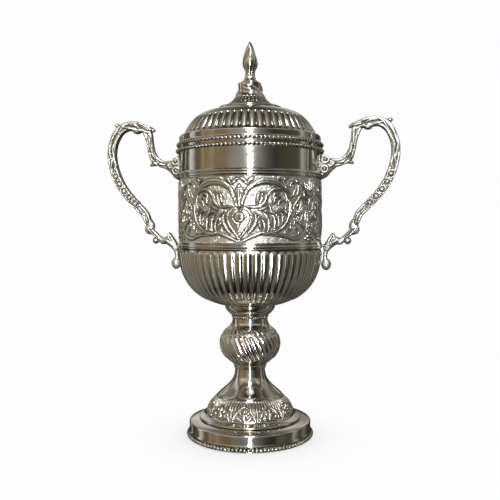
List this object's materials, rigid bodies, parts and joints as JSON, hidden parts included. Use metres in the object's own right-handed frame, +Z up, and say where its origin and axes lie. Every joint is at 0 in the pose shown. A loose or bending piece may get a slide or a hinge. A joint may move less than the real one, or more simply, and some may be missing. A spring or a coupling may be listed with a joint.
{
  "type": "cup trophy",
  "caption": "Covered cup trophy: lobed bowl with a chased frieze on a knopped stem and beaded foot, scroll handles and a domed lift-off lid.",
  "frame": {"origin": "centre of the foot's underside, on the table", "axes": "+Z up along the cup's axis; the handles lie along X; the front, with the heart of the frieze, faces -Y"},
  "size_m": [0.3062, 0.1536, 0.4076],
  "materials": {
    "silver_plate": "polished silver plate over brass, warm grey with age, darker in the chased and fluted recesses",
    "cast_silver": "bright silver-plated casting with tarnish left in the relief",
    "steel_fastener": "plain zinc-grey steel",
    "brass_fastener": "plain turned brass"
  },
  "bodies": {
    "cup": {"foot_plinth": "silver_plate", "foot_beading": "silver_plate", "foot_dome": "silver_plate", "stem_trumpet": "silver_plate", "stem_collar": "silver_plate", "stem_knop": "silver_plate", "calyx_beading": "silver_plate", "calyx": "silver_plate", "bowl_base": "silver_plate", "bowl_barrel": "silver_plate", "lower_moulding": "silver_plate", "upper_moulding": "silver_plate", "rim_beading": "silver_plate", "tie_bolt": "steel_fastener", "bowl_washer": "brass_fastener", "clamp_plate": "steel_fastener", "clamp_nut": "steel_fastener", "handle_right": "cast_silver", "handle_screw_right_upper": "brass_fastener", "screw_washer_right_upper": "brass_fastener", "handle_screw_right_lower": "brass_fastener", "screw_washer_right_lower": "brass_fastener", "handle_left": "cast_silver", "handle_screw_left_upper": "brass_fastener", "screw_washer_left_upper": "brass_fastener", "handle_screw_left_lower": "brass_fastener", "screw_washer_left_lower": "brass_fastener"},
    "lid": {"lid_dome": "silver_plate", "lid_bezel": "silver_plate", "lid_beading": "silver_plate", "finial_pedestal": "silver_plate", "finial": "silver_plate", "finial_washer": "brass_fastener", "finial_nut": "brass_fastener"}
  },
  "joints": [
    {"name": "lid_lift", "type": "slide", "parent": "cup", "child": "lid", "axis": [0, 0, 1], "range_m": [0, 0.12]}
  ]
}
